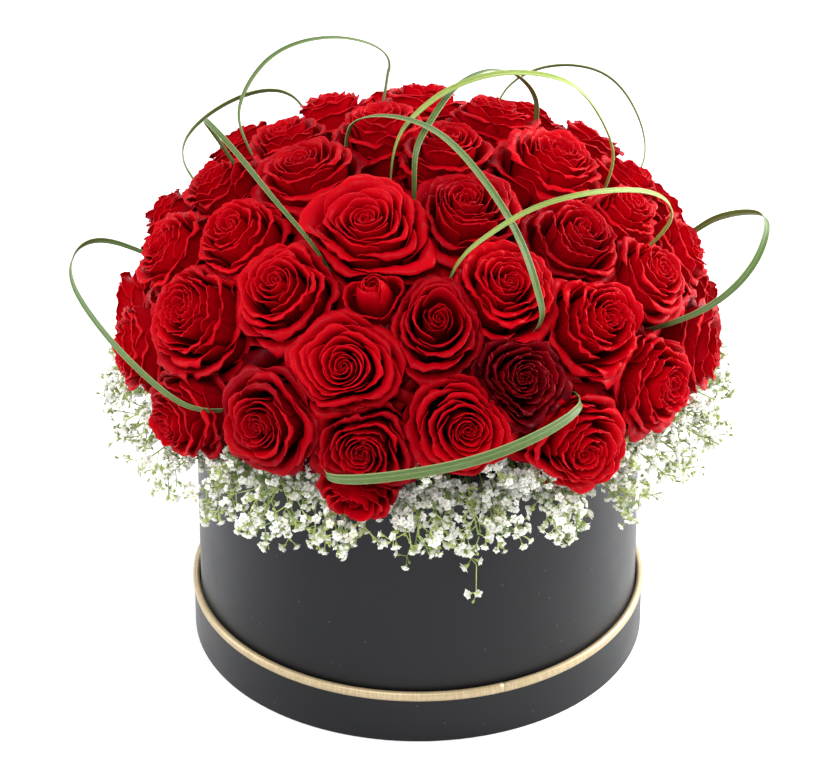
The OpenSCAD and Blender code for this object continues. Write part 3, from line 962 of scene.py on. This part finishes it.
def axis_of(points):
    """Ends of a sprig's own line, foot first, and how far along it the cloud
    of florets starts and how wide it is."""
    middle = points.mean(0)
    run = np.linalg.svd(points - middle, full_matrices=False)[2][0]
    along = (points - middle) @ run
    off = np.linalg.norm(points - middle - along[:, None] * run, axis=1)
    if np.max(off[along > 0]) < np.max(off[along < 0]):
        run, along = -run, -along
    wire_r = np.max(off[along < along.min() + 2 * MM])
    cloud = along[off > 1.3 * wire_r]
    foot, tip = middle + along.min() * run, middle + along.max() * run
    return foot, tip, run, cloud.min() - along.min(), 2 * off.max()


def clear_of_box(p):
    """Whether a floret at p clears the box's wall, or stands over its rim."""
    beside, over = 3.4 * MM, 4 * MM
    return math.hypot(p[0], p[1]) >= BOX_R + beside or p[2] - RIM_Z >= over


class Sprigs:
    """Grows sprigs into one mesh."""

    # Radii of stalks, side branches, stems and hanging strands.
    STALK, BRANCH, STEM, STRAND = 0.24 * MM, 0.36 * MM, 0.60 * MM, 0.30 * MM
    # How many of the florets are still buds.
    BUDS = 0.22

    def __init__(self, look, rng):
        self.florets, self.buds, self.wires = [], [], []
        self.look, self.rng = look, rng

    def wire(self, a, b, radius):
        """A thin stem from a to b."""
        run = b - a
        long = Matrix.Diagonal((radius, radius, run.length, 1))
        self.wires.append(frame_on(run, a) @ long)

    def scatter(self):
        """A random direction."""
        return Vector([self.rng.gauss(0, 1) for _ in range(3)]).normalized()

    def flower(self, p, direction, fullness=1.0):
        """A floret or, now and then, a bud on its own short stalk."""
        rng, look = self.rng, self.look
        long = rng.uniform(2.0, 5.5) * MM
        aim = (direction + 0.9 * self.scatter()).normalized()
        end = p + aim * long
        if not clear_of_box(end):
            return
        self.wire(p, end, self.STALK)
        if rng.random() < self.BUDS:
            self.buds.append(frame_on(aim, end, rng.uniform(1.6, 2.6) * MM))
            return
        size = fullness * look.floret_r * rng.uniform(0.72, 1.12)
        face = (aim + 0.35 * self.scatter()).normalized()
        self.florets.append(frame_on(face, end + face * 0.4 * size, size, rng.uniform(0, 6.28)))

    def cloud(self, foot, tip, run, start, width, branches, florets):
        """A stem with side branches that fill the room of its cloud."""
        rng = self.rng
        foot, run = Vector(foot), Vector(run)
        total = (Vector(tip) - foot).length
        # In front the skirt is trimmed shorter than at the sides.
        front = max(0.0, -tip[1] / math.hypot(tip[0], tip[1]))
        last = total - (5 + 11 * front + rng.uniform(-3, 3)) * MM
        first = start - 16 * MM
        self.wire(foot, foot + run * (last - 4 * MM), self.STEM)
        for i in range(branches):
            where = first + (last - first) * ((i + rng.random()) / branches) ** 1.1
            out = self.scatter()
            out = (out - out.project(run)).normalized()
            aim = (0.75 * out + 0.55 * run + Vector((0, 0, -0.12))).normalized()
            fat = 0.55 + 0.75 * min(1.0, max(0.0, (where - start) / (0.6 * (total - start))))
            if where > last - 9 * MM:
                fat *= 0.7
            long = width / 2 * fat * rng.uniform(0.55, 1.05)
            root = foot + run * where
            end = root + aim * long
            if not clear_of_box(end):
                continue
            self.wire(root, end, self.BRANCH)
            for _ in range(florets):
                self.flower(root.lerp(end, rng.uniform(0.45, 1.0)), aim)

    def hang(self, azimuth, r, z, steps):
        """A loose sprig that droops in front of the box."""
        rng = self.rng
        a, r, z = math.radians(azimuth), r * MM, z * MM
        here = Vector((r * math.sin(a), -r * math.cos(a), z))
        start = Vector((0.93 * here.x, 0.93 * here.y, RIM_Z + 5 * MM))
        self.wire(start, here, 0.40 * MM)
        for i, (turn, fall) in enumerate(steps):
            a += math.radians(turn)
            r -= 0.2 * MM
            z -= fall * MM
            after = Vector((r * math.sin(a), -r * math.cos(a), z))
            self.wire(here, after, self.STRAND)
            last = i == len(steps) - 1
            for side in (-1, 1):
                if last or rng.random() < 0.8:
                    out = Vector((math.cos(a) * side, math.sin(a) * side, -0.35))
                    out += 0.3 * self.scatter()
                    where = 0.9 if last else rng.uniform(0.2, 0.9)
                    self.flower(here.lerp(after, where), out, 1.25)
            here = after
        self.flower(here, Vector((0, 0, -1)), 1.35)

    def finish(self, name, node):
        """Makes the piece of all that has grown."""
        grown = (floret_shape(), self.florets), (bud_shape(), self.buds), (tube_shape(), self.wires)
        white = material("baby's breath petal", floret_material, self.look)
        green = material("baby's breath stem", sprig_material, self.look)
        add_piece(name, copies(grown), "bouquet", "breath", [white, green], node)


class FLOWERBOX_OT_breath(bpy.types.Operator):
    """Grow the skirt of baby's breath on the sprigs of the frame"""

    bl_idname = "flowerbox.breath"
    bl_label = "Baby's breath"

    def execute(self, context):
        look = context.scene.flower_breath
        rng = random.Random(look.seed)
        tuft_branches, skirt_branches = round(0.6 * look.branches), round(0.7 * look.branches)
        quarters = {"front": 0, "right": 90, "back": 180, "left": -90}
        for quarter, middle in quarters.items():
            node = f"breath_{quarter}"
            sprigs = Sprigs(look, rng)
            for points, _ in islands(node):
                foot, tip, run, start, width = axis_of(points)
                tuft = tip[2] - foot[2] > -0.2 * np.linalg.norm(tip - foot)
                if tuft:
                    sprigs.cloud(foot, tip, run, start, 1.5 * width, tuft_branches, 6)
                    continue
                # Each sprig of the frame forks in three above the rim.
                for turn in (-3.2, 0.0, 3.2):
                    spin = Matrix.Rotation(math.radians(turn + rng.uniform(-1, 1)), 3, "Z")
                    line = (np.array(spin) @ part for part in (foot, tip, run))
                    sprigs.cloud(*line, start, 1.4 * width, skirt_branches, 5)
            for azimuth, r, z, steps in HANGING:
                if abs((azimuth - middle + 180) % 360 - 180) <= 45:
                    sprigs.hang(azimuth, r, z, steps)
            sprigs.finish(f"babys_breath_{quarter}", node)
        return {"FINISHED"}


# ---- Box, lid, liner and foam ----


def lay_braid(look):
    """The gold braid, laid flat round the lid's edge: a tall oval in section,
    open where its ends butt together."""
    corners = np.array([v.co for v in frame["nodes"]["lid_trim"].data.vertices])
    radii = np.hypot(corners[:, 0], corners[:, 1])
    middle, half_wide = (radii.min() + radii.max()) / 2, (radii.max() - radii.min()) / 2
    # The butt joint is the narrowest step between the rings of its solid.
    turns = np.sort(np.arctan2(corners[:, 1], corners[:, 0]))
    steps = np.diff(np.append(turns, turns[0] + 2 * math.pi))
    steps[steps < math.radians(0.1)] = math.inf
    joint = int(np.argmin(steps))
    half_tall = BRAID_TALL / 2
    mesh, u, t, _ = sheets(1, 12, 240)
    turn = turns[joint] + steps[joint] + t * (2 * math.pi - steps[joint])
    # A squarer oval than an ellipse, as the braid is flat on its face.
    out = np.sign(np.cos(math.pi * u)) * np.abs(np.cos(math.pi * u)) ** 0.7
    up = np.sign(np.sin(math.pi * u)) * np.abs(np.sin(math.pi * u)) ** 0.85
    r = middle + half_wide * out
    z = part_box("lid_trim")[1].z - half_tall + half_tall * up
    set_corners(mesh, np.column_stack([r * np.cos(turn), r * np.sin(turn), z]))
    bm = bmesh.new()
    bm.from_mesh(mesh)
    bmesh.ops.remove_doubles(bm, verts=bm.verts, dist=1e-6)
    bmesh.ops.holes_fill(bm, edges=[e for e in bm.edges if e.is_boundary], sides=0)
    bmesh.ops.recalc_face_normals(bm, faces=bm.faces)
    bm.to_mesh(mesh)
    bm.free()
    made = material("gold foil braid", gold_braid_material, look)
    add_piece("lid_braid", mesh, "lid", "gold_cord", [made], "lid_trim")


class FLOWERBOX_OT_box(bpy.types.Operator):
    """Cover the box and its upturned lid, and fill the box"""

    bl_idname = "flowerbox.box"
    bl_label = "Box"

    def execute(self, context):
        look = context.scene.flower_box
        paper = material("black satin covering paper", black_paper_material, look)
        board = material("grey board", board_material, look)
        for node in ("lid_wrap", "box_wrap", "lid_disc"):
            finish_node(node, paper)
        for node in ("lid_band", "box_base", "box_wall"):
            finish_node(node, board)
        lay_braid(look)
        finish_node("liner", material("moulded polypropylene", liner_material, look))
        finish_node("foam", material("wet floral foam", foam_material, look))
        return {"FINISHED"}


# ---- Studio ----


def softbox(name, place, aim, width, height, watts):
    """A white softbox at place that faces aim."""
    lamp = bpy.data.lights.new(name, "AREA")
    lamp.shape, lamp.size, lamp.size_y, lamp.energy = "RECTANGLE", width, height, watts
    obj = add_object(name, lamp)
    obj.location = place
    obj.rotation_euler = (Vector(aim) - obj.location).to_track_quat("-Z", "Y").to_euler()


class FLOWERBOX_OT_studio(bpy.types.Operator):
    """Lay the floor, hang the lights and set up the camera"""

    bl_idname = "flowerbox.studio"
    bl_label = "Studio"

    def execute(self, context):
        scene, look = context.scene, context.scene.flower_studio
        bm = bmesh.new()
        bmesh.ops.create_grid(bm, x_segments=4, y_segments=4, size=6)
        floor = add_object("floor", as_mesh(bm, "floor"))
        floor.data.materials.append(material("matt studio floor", floor_material, look))

        scene.world = bpy.data.worlds.new("studio")
        scene.world.use_nodes = True
        tree = scene.world.node_tree
        feed(tree, tree.nodes["Background"], {"Color": linear("f5f8ff"), "Strength": 0.8})

        middle = (0, 0, 0.16)
        softbox("key", (-0.5, -1.5, 2.2), middle, 1.3, 1.0, 42)
        softbox("left side", (-2.0, 0.1, 0.9), middle, 0.8, 1.6, 26)
        softbox("right side", (2.0, 0.4, 0.9), middle, 0.8, 1.6, 46)
        softbox("back", (0.2, 2.2, 1.9), middle, 1.6, 1.0, 22)
        # Lights the floor beside the box, whose sheen is seen in the paper.
        softbox("floor wash", (0.75, 0.40, 0.50), (0.30, 0.15, 0.0), 0.4, 0.4, 9)

        lens = bpy.data.cameras.new("camera")
        lens.lens, lens.sensor_width, lens.sensor_fit = look.lens, 36, "HORIZONTAL"
        # The target lies 4 px right of and 14 px over the middle of 828 px.
        lens.shift_x, lens.shift_y = -4 / 828, -13.96 / 828
        lens.clip_end = 50
        camera = add_object("camera", lens)
        target = Vector((0, 0, 0.15))
        back = Vector((0, -math.cos(look.elevation), math.sin(look.elevation)))
        camera.location = target + back * look.distance
        camera.rotation_euler = (math.pi / 2 - look.elevation, 0, 0)
        scene.camera = camera
        scene.view_settings.view_transform = "Standard"
        return {"FINISHED"}


class FLOWERBOX_PT_panel(bpy.types.Panel):
    """Flower box"""

    bl_idname = "FLOWERBOX_PT_panel"
    bl_label = "Flower box"
    bl_space_type = "VIEW_3D"
    bl_region_type = "UI"
    bl_category = "Flower box"

    def draw(self, context):
        for group, operator, look in STEPS:
            column = self.layout.column(align=True)
            column.operator(operator.bl_idname)
            for name in look.__annotations__:
                column.prop(getattr(context.scene, group), name)


STEPS = [
    ("flower_box", FLOWERBOX_OT_box, BoxLook),
    ("flower_roses", FLOWERBOX_OT_roses, RoseLook),
    ("flower_green", FLOWERBOX_OT_grass, GreenLook),
    ("flower_breath", FLOWERBOX_OT_breath, BreathLook),
    ("flower_studio", FLOWERBOX_OT_studio, StudioLook),
]


def register():
    for group, operator, look in STEPS:
        bpy.utils.register_class(look)
        bpy.utils.register_class(operator)
        setattr(bpy.types.Scene, group, PointerProperty(type=look))
    bpy.utils.register_class(FLOWERBOX_PT_panel)


def unregister():
    bpy.utils.unregister_class(FLOWERBOX_PT_panel)
    for group, operator, look in reversed(STEPS):
        delattr(bpy.types.Scene, group)
        bpy.utils.unregister_class(operator)
        bpy.utils.unregister_class(look)


def main():
    register()
    bpy.ops.flowerbox.box()
    bpy.ops.flowerbox.roses()
    bpy.ops.flowerbox.grass()
    bpy.ops.flowerbox.breath()
    bpy.ops.flowerbox.studio()


if __name__ == "__main__":
    main()
